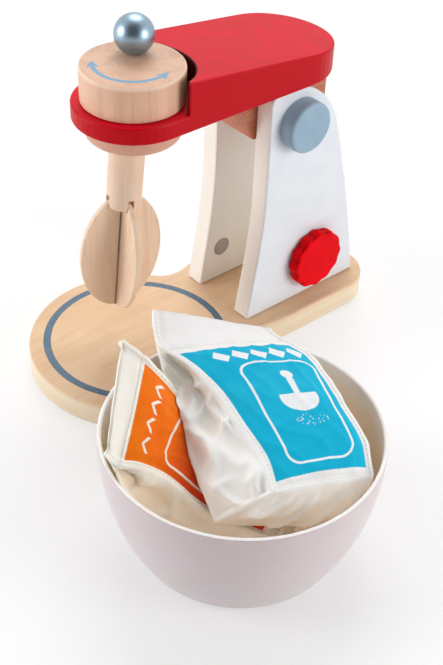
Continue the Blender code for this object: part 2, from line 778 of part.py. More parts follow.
def make_dial():
    axis = make_empty("dial_axis", dial_place)
    inner = plate_outer_x + RUN_GAP
    keeper_face = plate_inner_x - RUN_GAP
    dial = make_board("dial_knob", dial_outline(), DIAL_THICK, dial_red)
    put(dial, (inner + DIAL_THICK / 2, DIAL_Y, DIAL_Z), standing, axis)
    soften(dial, DIAL_EDGE_R)
    socket = make_rod("cut_dial_socket", PIN_R + GLUE_GAP, inner + DIAL_SOCKET + GLUE_GAP,
                      inner - OVERRUN, None)
    put(socket, dial_place, along_x, axis)
    cut(dial, socket)
    settle(dial)
    pin = make_rod("dial_pin", PIN_R, inner + DIAL_SOCKET, keeper_face - KEEPER_SOCKET, beech,
                   DOWEL_CHAMFER)
    put(pin, dial_place, along_x, axis)
    keeper = make_turned("dial_keeper", keeper_profile(), grey_paint, SMALL_STEPS)
    put(keeper, (keeper_face, DIAL_Y, DIAL_Z), along_x, axis)


# Radius of the bowl's outside at a share of the height of its wall
def bowl_radius(share):
    return BOWL_FOOT_R + (BOWL_RIM_R - BOWL_FOOT_R) * (1 - (1 - share) ** BOWL_SWELL)


def bowl_profile():
    lip_z = BOWL_HEIGHT - BOWL_WALL / 2
    shares = [i / BOWL_STEPS for i in range(BOWL_STEPS)]
    inner = [(bowl_radius(share) - BOWL_WALL, BOWL_FLOOR + share * (lip_z - BOWL_FLOOR)) for share in shares]
    outer = [(bowl_radius(share), share * lip_z) for share in reversed(shares[1:])]
    lip = arc((BOWL_RIM_R - BOWL_WALL / 2, lip_z), BOWL_WALL / 2, math.pi, 0.0, LIP_STEPS)
    edge = (BOWL_FOOT_R - BOWL_FOOT_EDGE_R, BOWL_FOOT_EDGE_R)
    foot = arc(edge, BOWL_FOOT_EDGE_R, 0.0, -RIGHT_ANGLE, CORNER_STEPS)
    return [(0.0, BOWL_FLOOR)] + inner + lip + outer + foot + [(0.0, 0.0)]


def bowl_inner_radius(height):
    lip_z = BOWL_HEIGHT - BOWL_WALL / 2
    share = (height - BOWL_FLOOR) / (lip_z - BOWL_FLOOR)
    return bowl_radius(min(max(share, 0.0), 1.0)) - BOWL_WALL


# Keeps a point of a bag inside the bowl's wall and above its floor
def press_into_bowl(point):
    height = max(point.z, BOWL_FLOOR + BAG_GAP)
    limit = bowl_inner_radius(height) - BAG_GAP
    spread = math.hypot(point.x, point.y)
    if height < BOWL_HEIGHT and spread > limit:
        return Vector((point.x * limit / spread, point.y * limit / spread, height))
    return Vector((point.x, point.y, height))


# A ring of points round a section, with its edges bulged from the section's middle
def bag_ring(corners):
    middle = sum(corners, Vector()) / len(corners)
    ring = []
    for start, end in zip(corners, corners[1:] + corners[:1]):
        for share in BAG_EDGE_SHARES:
            point = start.lerp(end, share)
            if share == BAG_EDGE_SHARES[1]:
                point += (point - middle) * BAG_BULGE_SHARE
            ring.append(press_into_bowl(point))
    return ring


def blend_corners(first, second, share):
    return [start.lerp(end, share) for start, end in zip(first, second)]


def bag_sections(corner_shares, lift):
    rise = Vector((0.0, 0.0, lift))
    sections = [[Vector(corner) * BOWL_RIM_R + rise for corner in row] for row in corner_shares]
    foot = blend_corners(sections[0], sections[1], BAG_FOOT_SHARE)
    top = blend_corners(sections[-2], sections[-1], BAG_TOP_SHARE)
    return [sections[0], foot] + sections[1:-1] + [top, sections[-1]]


def close_end(shape, ring, inside, bulge):
    middle = sum((vert.co for vert in ring), Vector()) / len(ring)
    behind = sum((vert.co for vert in inside), Vector()) / len(inside)
    tip = shape.verts.new(press_into_bowl(middle + (middle - behind) * bulge))
    for i in range(len(ring)):
        shape.faces.new((ring[i], ring[(i + 1) % len(ring)], tip))


def make_bag(name, corner_shares, lift, finish, bags):
    shape = bmesh.new()
    sections = bag_sections(corner_shares, lift)
    rings = [[shape.verts.new(point) for point in bag_ring(section)] for section in sections]
    for lower, upper in zip(rings, rings[1:]):
        for i in range(len(lower)):
            j = (i + 1) % len(lower)
            shape.faces.new((lower[i], lower[j], upper[j], upper[i]))
    close_end(shape, rings[0], rings[2], BAG_END_BULGE_SHARE)
    close_end(shape, rings[-1], rings[-3], 0.0)
    bmesh.ops.recalc_face_normals(shape, faces=shape.faces)
    mesh = bpy.data.meshes.new(name)
    shape.to_mesh(mesh)
    shape.free()
    sack = make_object(name, mesh, finish)
    put_inside(sack, centre_line, upright, bags)
    soft = sack.modifiers.new("soft", "SUBSURF")
    soft.levels = BAG_SMOOTHING
    soft.render_levels = BAG_SMOOTHING
    mesh.shade_smooth()


def make_bowl_set():
    bowl = make_turned("mixing_bowl", bowl_profile(), bowl_plastic, BOWL_TURN_STEPS)
    put(bowl, bowl_place)
    bags = make_empty("bags", bowl_place, (0.0, 0.0, STEM_TURN))
    make_bag("sugar_bag", SUGAR_CORNER_SHARES, SUGAR_LIFT, sugar_cotton, bags)
    make_bag("flour_bag", FLOUR_CORNER_SHARES, FLOUR_LIFT, flour_cotton, bags)


clear_scene()
parts = make_collection("toy_stand_mixer")
cutters = make_collection("cutters")
make_stand()
make_pivot()
make_beater(make_head())
make_dial()
make_bowl_set()
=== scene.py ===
import math

import bmesh
import bpy
from mathutils import Matrix, Vector, noise
from mathutils.bvhtree import BVHTree


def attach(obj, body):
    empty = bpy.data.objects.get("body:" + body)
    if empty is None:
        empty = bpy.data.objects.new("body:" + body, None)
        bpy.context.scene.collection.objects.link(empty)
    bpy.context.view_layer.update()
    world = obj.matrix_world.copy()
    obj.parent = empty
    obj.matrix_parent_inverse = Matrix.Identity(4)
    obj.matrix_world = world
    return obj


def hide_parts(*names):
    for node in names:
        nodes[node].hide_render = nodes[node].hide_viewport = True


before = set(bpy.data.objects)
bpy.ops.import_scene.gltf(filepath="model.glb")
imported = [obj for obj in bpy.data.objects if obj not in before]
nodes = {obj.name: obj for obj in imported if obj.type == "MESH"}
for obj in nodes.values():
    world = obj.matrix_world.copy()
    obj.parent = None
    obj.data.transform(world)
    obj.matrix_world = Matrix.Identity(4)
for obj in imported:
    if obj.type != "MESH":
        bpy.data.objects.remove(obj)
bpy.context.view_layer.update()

mm = 0.001
imageHeight = 665  # the photograph is 443 x 665


# Shader maths: a socket that can be added, multiplied and compared in plain Python
class Wire:
    def __init__(self, finish, socket):
        self.finish = finish
        self.socket = socket

    def do(self, operation, *values):
        return self.finish.add("ShaderNodeMath", {"operation": operation}, dict(enumerate(values)))

    def __add__(self, other):
        return self.do("ADD", self, other)

    __radd__ = __add__

    def __sub__(self, other):
        return self.do("SUBTRACT", self, other)

    def __rsub__(self, other):
        return self.do("SUBTRACT", other, self)

    def __mul__(self, other):
        return self.do("MULTIPLY", self, other)

    __rmul__ = __mul__

    def __truediv__(self, other):
        return self.do("DIVIDE", self, other)

    def __rtruediv__(self, other):
        return self.do("DIVIDE", other, self)

    def __pow__(self, other):
        return self.do("POWER", self, other)

    def __gt__(self, other):
        return self.do("GREATER_THAN", self, other)

    def __lt__(self, other):
        return self.do("LESS_THAN", self, other)

    def __abs__(self):
        return self.do("ABSOLUTE", self)

    def min(self, other):
        return self.do("MINIMUM", self, other)

    def max(self, other):
        return self.do("MAXIMUM", self, other)

    def rise(self, low, high):  # 0 below low, 1 above high, smooth between
        return self.finish.add("ShaderNodeMapRange", {"interpolation_type": "SMOOTHSTEP"},
                               {0: self, 1: low, 2: high, 3: 0.0, 4: 1.0})


# A material with one Principled shader, and the few nodes that this scene asks it for.
# Given a node tree instead, such as the world's, it only adds nodes there.
class Finish:
    def __init__(self, name="", tree=None, **fixed):
        if tree:
            self.tree = tree
            return
        self.material = bpy.data.materials.new(name)
        self.material.use_nodes = True
        self.tree = self.material.node_tree
        self.shader = self.tree.nodes["Principled BSDF"]
        for socket, value in fixed.items():
            self.set(socket, value)

    def set(self, socket, value):
        target = self.shader.inputs[socket.replace("_", " ")]
        if isinstance(value, Wire):
            self.tree.links.new(value.socket, target)
        else:
            target.default_value = (*value, 1.0) if target.type == "RGBA" else value

    def add(self, kind, settings=None, inputs=None, output=0):
        node = self.tree.nodes.new(kind)
        for name, value in (settings or {}).items():
            setattr(node, name, value)
        for name, value in (inputs or {}).items():
            if isinstance(value, Wire):
                self.tree.links.new(value.socket, node.inputs[name])
            else:
                node.inputs[name].default_value = value
        return Wire(self, node.outputs[output])

    def place(self, scale=1000.0):  # the object's own place, in millimetres
        spot = self.add("ShaderNodeTexCoord", output="Object")
        return self.add("ShaderNodeVectorMath", {"operation": "SCALE"}, {0: spot, 3: scale})

    def facing(self):
        return self.add("ShaderNodeTexCoord", output="Normal")

    def attribute(self, name):
        return self.add("ShaderNodeAttribute", {"attribute_name": name}, output="Vector")

    def stretch(self, vector, by):
        return self.add("ShaderNodeVectorMath", {"operation": "MULTIPLY"}, {0: vector, 1: by})

    def shift(self, vector, by):
        return self.add("ShaderNodeVectorMath", {"operation": "ADD"}, {0: vector, 1: by})

    def axes(self, vector):
        return [self.add("ShaderNodeSeparateXYZ", {}, {0: vector}, output=i) for i in range(3)]

    # 1 where the camera sees the surface, and 1 where a mirror or glass shows it
    def rays(self):
        seen = self.add("ShaderNodeLightPath", output="Is Camera Ray")
        mirrored = self.add("ShaderNodeLightPath", output="Is Glossy Ray")
        through = self.add("ShaderNodeLightPath", output="Is Transmission Ray")
        return seen, mirrored.max(through)

    def toWorld(self, normal):
        settings = {"vector_type": "NORMAL", "convert_from": "OBJECT", "convert_to": "WORLD"}
        return self.add("ShaderNodeVectorTransform", settings, {0: normal})

    # The true normal of a part turned about an upright axis, in place of its flat facets
    def turned(self, spot, middle=(0.0, 0.0)):
        flatX, flatY, rise = self.axes(self.facing())
        x, y, _ = self.axes(spot)
        x, y = x - middle[0], y - middle[1]
        outward = ((flatX * x + flatY * y) > 0.0) * 2 - 1
        spread = ((1 - rise * rise).max(0.0) ** 0.5) * outward / ((x * x + y * y) ** 0.5).max(0.01)
        around = self.add("ShaderNodeCombineXYZ", {}, {0: x * spread, 1: y * spread, 2: rise})
        return self.toWorld(around)

    # The true normal of a ball
    def rounded(self, spot, middle):
        return self.toWorld(self.shift(spot, tuple(-value for value in middle)))

    def speckle(self, vector, scale, detail=3.0, rough=0.55, warp=0.0):
        return self.add("ShaderNodeTexNoise", {}, {
            "Vector": vector, "Scale": scale, "Detail": detail, "Roughness": rough, "Distortion": warp})

    def mix(self, factor, first, second):
        def tint(value):
            return value if isinstance(value, Wire) else (*value, 1.0)
        return self.add("ShaderNodeMix", {"data_type": "RGBA"},
                        {0: factor, 6: tint(first), 7: tint(second)}, output=2)

    def bump(self, height, strength, distance=0.001, under=None):
        inputs = {"Strength": strength, "Distance": distance, "Height": height}
        if under is not None:
            inputs["Normal"] = under
        return self.add("ShaderNodeBump", {}, inputs)


def dress(finish, *names):
    for name in names:
        nodes[name].data.materials.clear()
        nodes[name].data.materials.append(finish.material)


woodScale = {"tone": 0.018, "rings": 0.16, "streaks": 0.9, "pores": 2.4}  # waves in a millimetre


# Wood, from broad tone down to pores. The grain runs along the axis with the small stretch.
def makeWood(name, look):
    wood = Finish(name, Coat_Weight=look["lacquer"], Coat_Roughness=0.35, Specular_IOR_Level=0.4)
    spot = wood.place()
    along = wood.stretch(spot, look["grain"])
    tone = wood.speckle(spot, woodScale["tone"], 2.0)
    rings = wood.speckle(along, woodScale["rings"], 4.0, 0.6, 0.6)
    streaks = wood.speckle(wood.shift(along, (31.0, 7.0, 13.0)), woodScale["streaks"], 3.0, 0.6)
    pores = wood.speckle(wood.shift(along, (3.0, 50.0, 9.0)), woodScale["pores"], 1.0, 0.5)
    colour = wood.mix(tone.rise(0.35, 0.65), look["dark"], look["light"])
    colour = wood.mix(rings.rise(0.46, 0.62) * look["rings"], colour, look["deep"])
    colour = wood.mix(streaks.rise(0.5, 0.7) * look["streaks"], colour, look["light"])
    fleck = pores.rise(0.62, 0.72)
    colour = wood.mix(fleck * look["flecks"], colour, look["deep"])
    wood.set("Roughness", rings * 0.1 + (look["rough"] + fleck * 0.1))
    true = wood.turned(spot) if look.get("turned") else None
    wood.set("Normal", wood.bump(streaks * 0.5 - fleck, look["bump"], 0.0002, true))
    wood.tint = colour
    wood.spot = spot
    return wood


print("camera and light")
camera = {
    "target": (53.76 * mm, 29.26 * mm, 41.69 * mm),
    "azimuth": 48.17,
    "elevation": 39.16,
    "roll": 2.62,
    "distance": 757.44 * mm,
    "focal": 1161.16,  # in pixels of the photograph
}


def makeCamera(look):
    around, above = math.radians(look["azimuth"]), math.radians(look["elevation"])
    flat = math.cos(above)
    back = Vector((math.sin(around) * flat, -math.cos(around) * flat, math.sin(above)))
    side = Vector((math.cos(around), math.sin(around), 0.0))
    up = back.cross(side)
    roll = math.radians(look["roll"])
    turnedSide = side * math.cos(roll) + up * math.sin(roll)
    turnedUp = up * math.cos(roll) - side * math.sin(roll)
    lens = bpy.data.cameras.new("photoCamera")
    lens.sensor_width = 36.0
    lens.lens = look["focal"] * lens.sensor_width / imageHeight
    lens.clip_start = 0.05
    lens.clip_end = 20.0
    body = bpy.data.objects.new("photoCamera", lens)
    bpy.context.scene.collection.objects.link(body)
    turn = Matrix((turnedSide, turnedUp, back)).transposed().to_4x4()
    body.matrix_world = Matrix.Translation(Vector(look["target"]) + back * look["distance"]) @ turn
    bpy.context.scene.camera = body


makeCamera(camera)

lamps = {
    "top": {"from": (-0.6, 0.65, 1.55), "size": 1.2, "power": 12.0, "tint": (1.0, 1.0, 1.0)},
    "right": {"from": (1.45, 0.65, 0.55), "size": 0.9, "power": 11.5, "tint": (1.0, 0.99, 0.98)},
    "left": {"from": (-0.85, -1.35, 0.60), "size": 0.9, "power": 15.5, "tint": (0.99, 0.99, 1.0)},
}
lampAim = Vector((0.06, 0.03, 0.08))


def makeLamp(name, look):
    light = bpy.data.lights.new(name, "AREA")
    light.shape = "DISK"
    light.size = look["size"]
    light.energy = look["power"]
    light.color = look["tint"]
    holder = bpy.data.objects.new(name, light)
    bpy.context.scene.collection.objects.link(holder)
    holder.location = look["from"]
    holder.rotation_euler = (lampAim - holder.location).to_track_quat("-Z", "Y").to_euler()


for name, look in lamps.items():
    makeLamp(name, look)

room = {
    "glow": 0.56,  # strength as light
    "front": (0.63, -0.56, 0.53), "frontRise": (0.2, 0.9),  # where the room is dark, behind the camera
    "frontShare": 0.5, "mirrorFront": 0.08,  # how bright it is there, as light and in a mirror
}


# A pale room: white where the camera or a mirror sees it, dimmer as light, dark behind the camera
def makeRoom(look):
    world = bpy.data.worlds.new("paleRoom")
    bpy.context.scene.world = world
    world.use_nodes = True
    air = Finish(tree=world.node_tree)
    sight = air.add("ShaderNodeTexCoord", output="Generated")
    ahead = air.add("ShaderNodeVectorMath", {"operation": "DOT_PRODUCT"},
                    {0: sight, 1: look["front"]}, output="Value")
    dark = ahead.rise(*look["frontRise"])
    seen, mirrored = air.rays()
    soft = look["glow"] * (1 - dark * (1 - look["frontShare"]))
    mirror = 1 - dark * (1 - look["mirrorFront"])
    strength = soft + mirrored * (mirror - soft)
    strength = strength + seen * (1 - strength)
    back = air.tree.nodes["Background"]
    back.inputs["Color"].default_value = (1.0, 1.0, 1.0, 1.0)
    air.tree.links.new(strength.socket, back.inputs["Strength"])


makeRoom(room)
bpy.context.scene.view_settings.view_transform = "Standard"


floorLook = {
    "size": 24.0, "height": -0.0002,  # metres
    "low": (0.86, 0.855, 0.855), "high": (0.88, 0.875, 0.875), "rough": 0.7,
    "white": 1.12,  # strength of the white that only the camera, a mirror or glass sees
    "share": 0.38, "nearShare": 0.14, "farShare": 0.44,  # of that white, under, beside and far off
    "bowl": (163.0, -49.8), "near": (75.0, 200.0), "far": (380.0, 1100.0),
}


def makeFloor(look):
    mesh = bpy.data.meshes.new("floor")
    shape = bmesh.new()
    bmesh.ops.create_grid(shape, x_segments=2, y_segments=2, size=look["size"] / 2)
    shape.to_mesh(mesh)
    shape.free()
    floor = bpy.data.objects.new("floor", mesh)
    floor.location.z = look["height"]
    bpy.context.scene.collection.objects.link(floor)
    paper = Finish("paleFloor", Roughness=look["rough"], Specular_IOR_Level=0.15)
    spot = paper.place()
    cloud = paper.speckle(spot, 0.004, 2.0)
    paper.set("Base_Color", paper.mix(cloud, look["low"], look["high"]))
    seen, mirrored = paper.rays()
    white = paper.add("ShaderNodeEmission", {},
                      {"Color": (1.0, 1.0, 1.0, 1.0), "Strength": look["white"]})
    x, y, _ = paper.axes(spot)
    far = ((x * x + y * y) ** 0.5).rise(*look["far"])
    # Darkest under the bowl, where the photo's only clear shadow lies
    x, y = x - look["bowl"][0], y - look["bowl"][1]
    near = ((x * x + y * y) ** 0.5).rise(*look["near"])
    share = look["share"] + near * look["nearShare"] + far * look["farShare"]
    lit = Wire(paper, paper.shader.outputs[0])
    both = paper.add("ShaderNodeMixShader", {}, {0: seen.max(mirrored) * share, 1: lit, 2: white})
    paper.tree.links.new(both.socket, paper.tree.nodes["Material Output"].inputs["Surface"])
    mesh.materials.append(paper.material)


makeFloor(floorLook)

print("wood")
baseLook = {
    "light": (0.82, 0.575, 0.355), "dark": (0.76, 0.51, 0.30), "deep": (0.62, 0.37, 0.19),
    "grain": (1.0, 0.09, 1.0), "rings": 0.25, "streaks": 0.2, "flecks": 0.3,
    "lacquer": 0.25, "rough": 0.42, "bump": 0.25,
    "ring": (0.055, 0.135, 0.215), "ringInner": 57.5, "ringOuter": 62.5, "ringSoft": 0.15, "top": 17.6,
    "plyDark": (0.86, 0.69, 0.475), "plyLight": (0.89, 0.74, 0.54), "sideTop": (15.2, 17.4),
}
base = makeWood("baseBeech", baseLook)
x, y, z = base.axes(base.spot)
wobble = base.speckle(base.spot, 0.4, 2.0) * 0.5 - 0.25
radius = (x * x + y * y) ** 0.5 + wobble
inner, outer, soft = baseLook["ringInner"], baseLook["ringOuter"], baseLook["ringSoft"]
inRing = radius.rise(inner - soft, inner + soft) * (1 - radius.rise(outer - soft, outer + soft))
inkWear = base.speckle(base.spot, 1.3, 4.0, 0.65).rise(0.3, 0.5) * 0.25 + 0.75
onTop = z > baseLook["top"]
# The sides show the paler laminations of the board
plies = base.speckle(base.stretch(base.spot, (0.02, 0.02, 1.0)), 0.45, 1.0).rise(0.42, 0.6)
side = base.mix(plies, baseLook["plyDark"], baseLook["plyLight"])
body = base.mix(z.rise(*baseLook["sideTop"]), side, base.tint)
base.set("Base_Color", base.mix(inRing * onTop * inkWear, body, baseLook["ring"]))
dress(base, "base_board")

drumLook = {
    "light": (0.82, 0.52, 0.36), "dark": (0.75, 0.445, 0.295), "deep": (0.60, 0.32, 0.19),
    "grain": (1.0, 1.0, 0.07), "rings": 0.35, "streaks": 0.35, "flecks": 0.3,
    "lacquer": 0.3, "rough": 0.45, "bump": 0.3,
    "edgeHighlight": (0.95, 0.74, 0.58), "highlightEdge": (30.0, 30.8), "highlightRise": (216.5, 218.8), "highlightShare": 0.7,
    "ink": (0.17, 0.38, 0.58), "arcRadius": 23.0, "arcWidth": 1.3, "top": 218.0,
    "arcMiddle": -54.0, "arcHalf": 80.0, "headLength": 8.0, "headHalf": 3.7, "notchFrom": 0.78, "notchHalf": 0.45,
}


# A double-headed arrow that bends round the drum's middle
def drawArrow(wood, look):
    x, y, z = wood.axes(wood.spot)
    around = wood.add("ShaderNodeMath", {"operation": "ARCTAN2"}, {0: y, 1: x})
    middle = math.radians(look["arcMiddle"])
    away = abs(wood.add("ShaderNodeMath", {"operation": "WRAP"},
                        {0: around - middle, 1: -math.pi, 2: math.pi}))
    off = abs((x * x + y * y) ** 0.5 - look["arcRadius"])
    along = (math.radians(look["arcHalf"]) - away) * look["arcRadius"]  # mm from the arrow's tip
    long, half = look["headLength"], look["headHalf"]
    shaft = (off < look["arcWidth"]) * (along > long * 0.5)
    head = (off < along * (half / long)) * (along < long) * (along > 0.0)
    notch = (along > long * look["notchFrom"]) * (off < half * look["notchHalf"]) * (off > look["arcWidth"])
    wear = wood.speckle(wood.spot, 1.4, 3.0).rise(0.28, 0.45) * 0.2 + 0.8
    return shaft.max(head * (1 - notch)) * (z > look["top"]) * wear


drum = makeWood("drumBeech", dict(drumLook, turned=True))
x, y, z = drum.axes(drum.spot)
# A painted highlight: a paler band round the top edge of the drum
edgeHighlight = ((x * x + y * y) ** 0.5).rise(*drumLook["highlightEdge"]) * z.rise(*drumLook["highlightRise"])
drumTone = drum.mix(edgeHighlight * drumLook["highlightShare"], drum.tint, drumLook["edgeHighlight"])
drum.set("Base_Color", drum.mix(drawArrow(drum, drumLook), drumTone, drumLook["ink"]))
dress(drum, "drum_top")

stemLook = dict(drumLook, light=(0.86, 0.63, 0.47), dark=(0.80, 0.56, 0.40), flecks=0.15, rings=0.2)
stemWood = makeWood("stemBeech", stemLook)
stemWood.set("Base_Color", stemWood.tint)
dress(stemWood, "beater_stem", "ball_peg", "block_dowel_front", "block_dowel_rear")

# The collar under the arm is painted darker and redder: a painted shade and a painted red reflection of the arm
flangeRedShadeLook = dict(stemLook, light=(0.71, 0.40, 0.29), dark=(0.63, 0.32, 0.23), rings=0.25)
flangeRedShadeWood = makeWood("flangeBeechRedShade", flangeRedShadeLook)
flangeRedShadeWood.set("Base_Color", flangeRedShadeWood.tint)
dress(flangeRedShadeWood, "drum_flange")

leafLook = dict(stemLook, light=(0.92, 0.71, 0.53), dark=(0.87, 0.65, 0.47), rings=0.22,
                pivot=217.0, lean=(0.0489, 0.0547),  # height that the stem leans from, and its slopes
                crossShade=(2.7, 3.7), crossShadeTint=(0.30, 0.15, 0.08), crossShadeShare=0.75)
leafWood = makeWood("leafPlywood", leafLook)
# A painted shade: a dark line in the corner where the leaves cross, along the leaning stem's axis
x, y, z = leafWood.axes(leafWood.spot)
drop = leafLook["pivot"] - z
x, y = x + drop * leafLook["lean"][0], y + drop * leafLook["lean"][1]
crossShade = (1 - ((x * x + y * y) ** 0.5).rise(*leafLook["crossShade"])) * leafLook["crossShadeShare"]
leafWood.set("Base_Color", leafWood.mix(crossShade, leafWood.tint, leafLook["crossShadeTint"]))
dress(leafWood, "beater_leaf_wide", "beater_leaf_cross")

blockLook = dict(drumLook, grain=(1.0, 0.1, 1.0), light=(0.54, 0.175, 0.085), dark=(0.45, 0.135, 0.065),
                 lacquer=0.0)
blockWood = makeWood("blockBeech", blockLook)
blockWood.set("Base_Color", blockWood.tint)
dress(blockWood, "tilt_block")

axleLook = dict(drumLook, grain=(0.08, 1.0, 1.0))
axleWood = makeWood("axleBeech", axleLook)
axleWood.set("Base_Color", axleWood.tint)
dress(axleWood, "pivot_axle", "dial_pin")

print("paint")


# Sprayed paint on wood: a slight mottle and orange peel
def makePaint(name, look):
    paint = Finish(name, Metallic=look.get("metal", 0.0), Coat_Weight=look["coat"],
                   Coat_Roughness=look["coatRough"], Specular_IOR_Level=look.get("specular", 0.5))
    spot = paint.place()
    mottle = paint.speckle(spot, look.get("mottleSize", 0.06), 3.0)
    peel = paint.speckle(spot, 1.6, 2.0)
    colour = paint.mix(mottle.rise(0.35, 0.65), look["low"], look["high"])
    paint.set("Roughness", mottle * 0.08 + look["rough"])
    true = paint.turned(spot, look["axis"]) if "axis" in look else None
    if "centre" in look:
        true = paint.rounded(spot, look["centre"])
    paint.set("Normal", paint.bump(peel, look["peel"], 0.0001, true))
    paint.tint = colour
    paint.spot = spot
    return paint


redLook = {"low": (0.68, 0.0, 0.012), "high": (0.75, 0.0, 0.018), "coat": 0.0, "coatRough": 0.22,
           "rough": 0.36, "peel": 0.25, "specular": 0.13, "side": (0.53, 0.0, 0.006),
           "hollow": (0.03, 0.0, 0.001), "hollowReach": 45.0, "hollowRise": (196.6, 199.0)}
red = makePaint("redLacquer", redLook)
x, y, z = red.axes(red.spot)
faceX, faceY, faceUp = red.axes(red.facing())
radius = (x * x + y * y) ** 0.5
# The wall behind the drum faces the drum's axis and lies in its shade
inHollow = ((faceX * x + faceY * y) < -1.0) * (radius < redLook["hollowReach"])
inHollow = inHollow * z.rise(*redLook["hollowRise"])
# Painted shade: the arm's sides take the darker side red, its top the lighter red
armShadedSides = red.mix(faceUp > 0.5, redLook["side"], red.tint)
red.set("Base_Color", red.mix(inHollow * 0.95, armShadedSides, redLook["hollow"]))
dress(red, "head_arm")

dialLook = {"low": (0.76, 0.0, 0.004), "high": (0.86, 0.0, 0.006), "coat": 0.0, "coatRough": 0.35,
            "rough": 0.5, "peel": 0.3, "specular": 0.06, "middle": (128.4, 49.6),
            "hollow": (0.42, 0.0, 0.003), "hollowRise": (20.3, 21.6)}
dialPaint = makePaint("dialRed", dialLook)
# The hollows round the dial's rim are painted darker: a painted shade
x, y, z = dialPaint.axes(dialPaint.spot)
y, z = y - dialLook["middle"][0], z - dialLook["middle"][1]
rimX, _, _ = dialPaint.axes(dialPaint.facing())
hollow = (1 - ((y * y + z * z) ** 0.5).rise(*dialLook["hollowRise"])) * (abs(rimX) < 0.5)
dialPaint.set("Base_Color", dialPaint.mix(hollow, dialPaint.tint, dialLook["hollow"]))
dress(dialPaint, "dial_knob")

capLook = {"low": (0.27, 0.41, 0.53), "high": (0.32, 0.46, 0.58), "coat": 0.2, "coatRough": 0.3,
           "rough": 0.4, "peel": 0.25}
capPaint = makePaint("greyBlue", capLook)
capPaint.set("Base_Color", capPaint.tint)
dress(capPaint, "pivot_cap_left", "pivot_cap_right", "dial_keeper")

plugLook = dict(capLook, low=(0.36, 0.34, 0.31), high=(0.42, 0.40, 0.37), coat=0.0)
plugPaint = makePaint("plugGrey", plugLook)
plugPaint.set("Base_Color", plugPaint.tint)
dress(plugPaint, "left_plate_plug")

ballLook = {"low": (0.25, 0.36, 0.45), "high": (0.35, 0.46, 0.55), "coat": 0.0, "coatRough": 0.3,
            "rough": 0.34, "peel": 0.08, "metal": 1.0, "mottleSize": 2.4,
            "centre": (-9.92, 8.87, 231.25)}
ballPaint = makePaint("ballSilver", ballLook)
ballPaint.set("Base_Color", ballPaint.tint)
dress(ballPaint, "turning_ball")

plateLook = {"low": (0.78, 0.82, 0.87), "high": (0.81, 0.85, 0.89), "coat": 0.1, "coatRough": 0.35,
             "rough": 0.48, "peel": 0.25, "edge": (0.96, 0.945, 0.90),
             "edgeDark": (0.94, 0.915, 0.85), "inner": (0.95, 0.93, 0.88),
             "halfGap": 18.5, "outerRise": (12.6, 13.1), "innerFall": (0.5, 1.1)}


# White faces, and cream edges where the board is only varnished
def makePlatePaint(look):
    paint = makePaint("plateWhite", look)
    x, _, _ = paint.axes(paint.spot)
    depth = abs(x) - look["halfGap"]  # 0 on the inner face, 14 mm on the outer one
    outer = depth.rise(*look["outerRise"])
    inner = 1 - depth.rise(*look["innerFall"])
    grain = paint.speckle(paint.stretch(paint.spot, (1.0, 1.0, 0.05)), 0.7, 3.0)
    edge = paint.mix(grain.rise(0.4, 0.65), look["edgeDark"], look["edge"])
    bare = paint.mix(inner, edge, look["inner"])
    paint.set("Base_Color", paint.mix(outer, bare, paint.tint))
    return paint


dress(makePlatePaint(plateLook), "side_plate_left", "side_plate_right")

screwLook = {"low": (0.50, 0.50, 0.50), "high": (0.60, 0.60, 0.60), "coat": 0.0, "coatRough": 0.3,
             "rough": 0.35, "peel": 0.1, "metal": 1.0, "mottleSize": 0.6}
screwMetal = makePaint("screwSteel", screwLook)
screwMetal.set("Base_Color", screwMetal.tint)
dress(screwMetal, "plate_screw_left_front", "plate_screw_left_rear", "plate_screw_right_front",
      "plate_screw_right_rear")

bowlLook = {"low": (0.64, 0.545, 0.56), "high": (0.66, 0.57, 0.585), "coat": 0.8, "coatRough": 0.3,
            "rough": 0.38, "peel": 0.12, "mottleSize": 0.02, "axis": (163.0, -49.8),
            "bounceTint": (1.0, 0.76, 0.55), "inner": (1.0, 0.97, 0.95), "bounceFall": (61.0, 91.0)}
bowlPlastic = makePaint("bowlPlastic", bowlLook)
# The outside is painted darker and the inside paler, a painted shade and a painted light; inside it turns warm
# towards the floor, a painted reflection of the sacks and the wood
x, y, z = bowlPlastic.axes(bowlPlastic.spot)
x, y = x - bowlLook["axis"][0], y - bowlLook["axis"][1]
turnX, turnY, turnUp = bowlPlastic.axes(bowlPlastic.facing())
within = ((turnX * x + turnY * y) < 0.0) * (turnUp > -0.3)
within = within.max(turnUp > 0.6)
bounceShare = 1 - z.rise(*bowlLook["bounceFall"])
innerPaintedLight = bowlPlastic.mix(bounceShare, bowlLook["inner"], bowlLook["bounceTint"])
bowlPlastic.set("Base_Color", bowlPlastic.mix(within, bowlPlastic.tint, innerPaintedLight))
bowlPlastic.set("Subsurface_Weight", 0.9)
bowlPlastic.set("Subsurface_Radius", (0.020, 0.013, 0.010))
dress(bowlPlastic, "mixing_bowl")

print("bags")
bowlSize = {
    "place": (163.0, -49.8), "turn": 48.2, "foot": 55.6, "rim": 78.8, "wall": 2.6,
    "floor": 3.2, "lip": 83.7, "height": 85.0, "swell": 2.19,
    "bagLift": 9.5,
}
bowlTurn = math.radians(bowlSize["turn"])
bagFrame = Matrix.Translation((bowlSize["place"][0] * mm, bowlSize["place"][1] * mm, 0.0))
bagFrame = bagFrame @ Matrix.Rotation(bowlTurn, 4, "Z") @ Matrix.Scale(mm, 4)


def bowlInside(height):
    share = (height - bowlSize["floor"]) / (bowlSize["lip"] - bowlSize["floor"])
    share = min(max(share, 0.0), 1.0)
    spread = (bowlSize["rim"] - bowlSize["foot"]) * (1 - (1 - share) ** bowlSize["swell"])
    return bowlSize["foot"] + spread - bowlSize["wall"]


# Keeps a point of a bag a little off the bowl's wall and floor
def keepInBowl(point, gap=1.1):
    point.z = max(point.z, bowlSize["floor"] + gap)
    limit = bowlInside(point.z) - gap
    spread = math.hypot(point.x, point.y)
    if point.z < bowlSize["height"] + gap and spread > limit:
        point.x *= limit / spread
        point.y *= limit / spread
    return point


